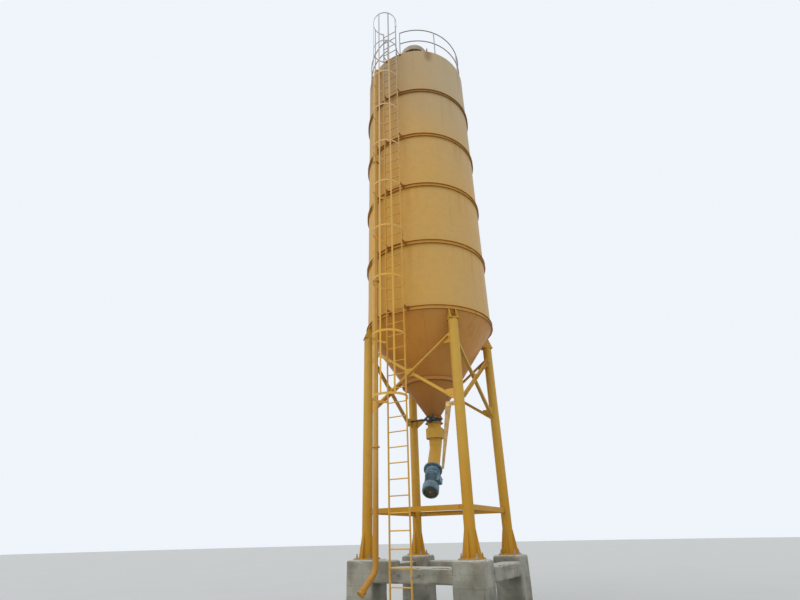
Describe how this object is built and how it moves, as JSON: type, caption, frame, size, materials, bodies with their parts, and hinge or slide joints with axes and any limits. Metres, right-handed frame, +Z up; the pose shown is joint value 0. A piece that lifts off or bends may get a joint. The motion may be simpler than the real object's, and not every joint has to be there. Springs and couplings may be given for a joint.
{
  "type": "cement silo",
  "caption": "Tall cylindrical steel cement silo with cone on four tube legs and a concrete foundation, with caged ladder, guardrail, roof filter, fill pipe and screw.",
  "frame": {"origin": "on the ground under the silo's axis, midway between the four piers", "axes": "+Z up along the silo's axis; the ladder is on the -Y side and the legs stand on the diagonals of X and Y"},
  "size_m": [3.29, 4.128, 17.62],
  "materials": {
    "shell_paint": "weathered satin ochre paint",
    "frame_paint": "weathered satin ochre paint",
    "concrete": "cast concrete with form marks",
    "blue_paint": "blue machine enamel",
    "black_paint": "black enamel",
    "bare_steel": "worn steel"
  },
  "bodies": {
    "root": {"foundation_pier_1": "concrete", "foundation_pier_2": "concrete", "foundation_pier_3": "concrete", "foundation_pier_4": "concrete", "foundation_beam_1": "concrete", "foundation_beam_2": "concrete", "foundation_beam_3": "concrete", "foundation_beam_4": "concrete", "leg_1": "frame_paint", "leg_2": "frame_paint", "leg_3": "frame_paint", "leg_4": "frame_paint", "cross_brace_1": "frame_paint", "cross_brace_2": "frame_paint", "cross_brace_3": "frame_paint", "cross_brace_4": "frame_paint", "leg_tie_1": "frame_paint", "leg_tie_2": "frame_paint", "leg_tie_3": "frame_paint", "leg_tie_4": "frame_paint", "shell_course_1": "shell_paint", "shell_course_2": "shell_paint", "shell_course_3": "shell_paint", "shell_course_4": "shell_paint", "shell_course_5": "shell_paint", "stiffener_ring_1": "shell_paint", "stiffener_ring_2": "shell_paint", "stiffener_ring_3": "shell_paint", "stiffener_ring_4": "shell_paint", "stiffener_ring_5": "shell_paint", "upper_cone": "shell_paint", "lower_cone": "shell_paint", "roof": "shell_paint", "roof_hatch": "shell_paint", "filter_body": "shell_paint", "filter_cap": "shell_paint", "guardrail_right": "frame_paint", "guardrail_left": "frame_paint", "ladder_lower": "frame_paint", "ladder_upper": "frame_paint", "cage_left": "frame_paint", "cage_front": "frame_paint", "cage_right": "frame_paint", "fill_pipe": "frame_paint", "screw_tube": "frame_paint", "screw_hanger": "frame_paint", "screw_shaft": "bare_steel", "gearbox": "blue_paint", "motor": "blue_paint", "discharge_valve": "black_paint"}
  },
  "joints": []
}
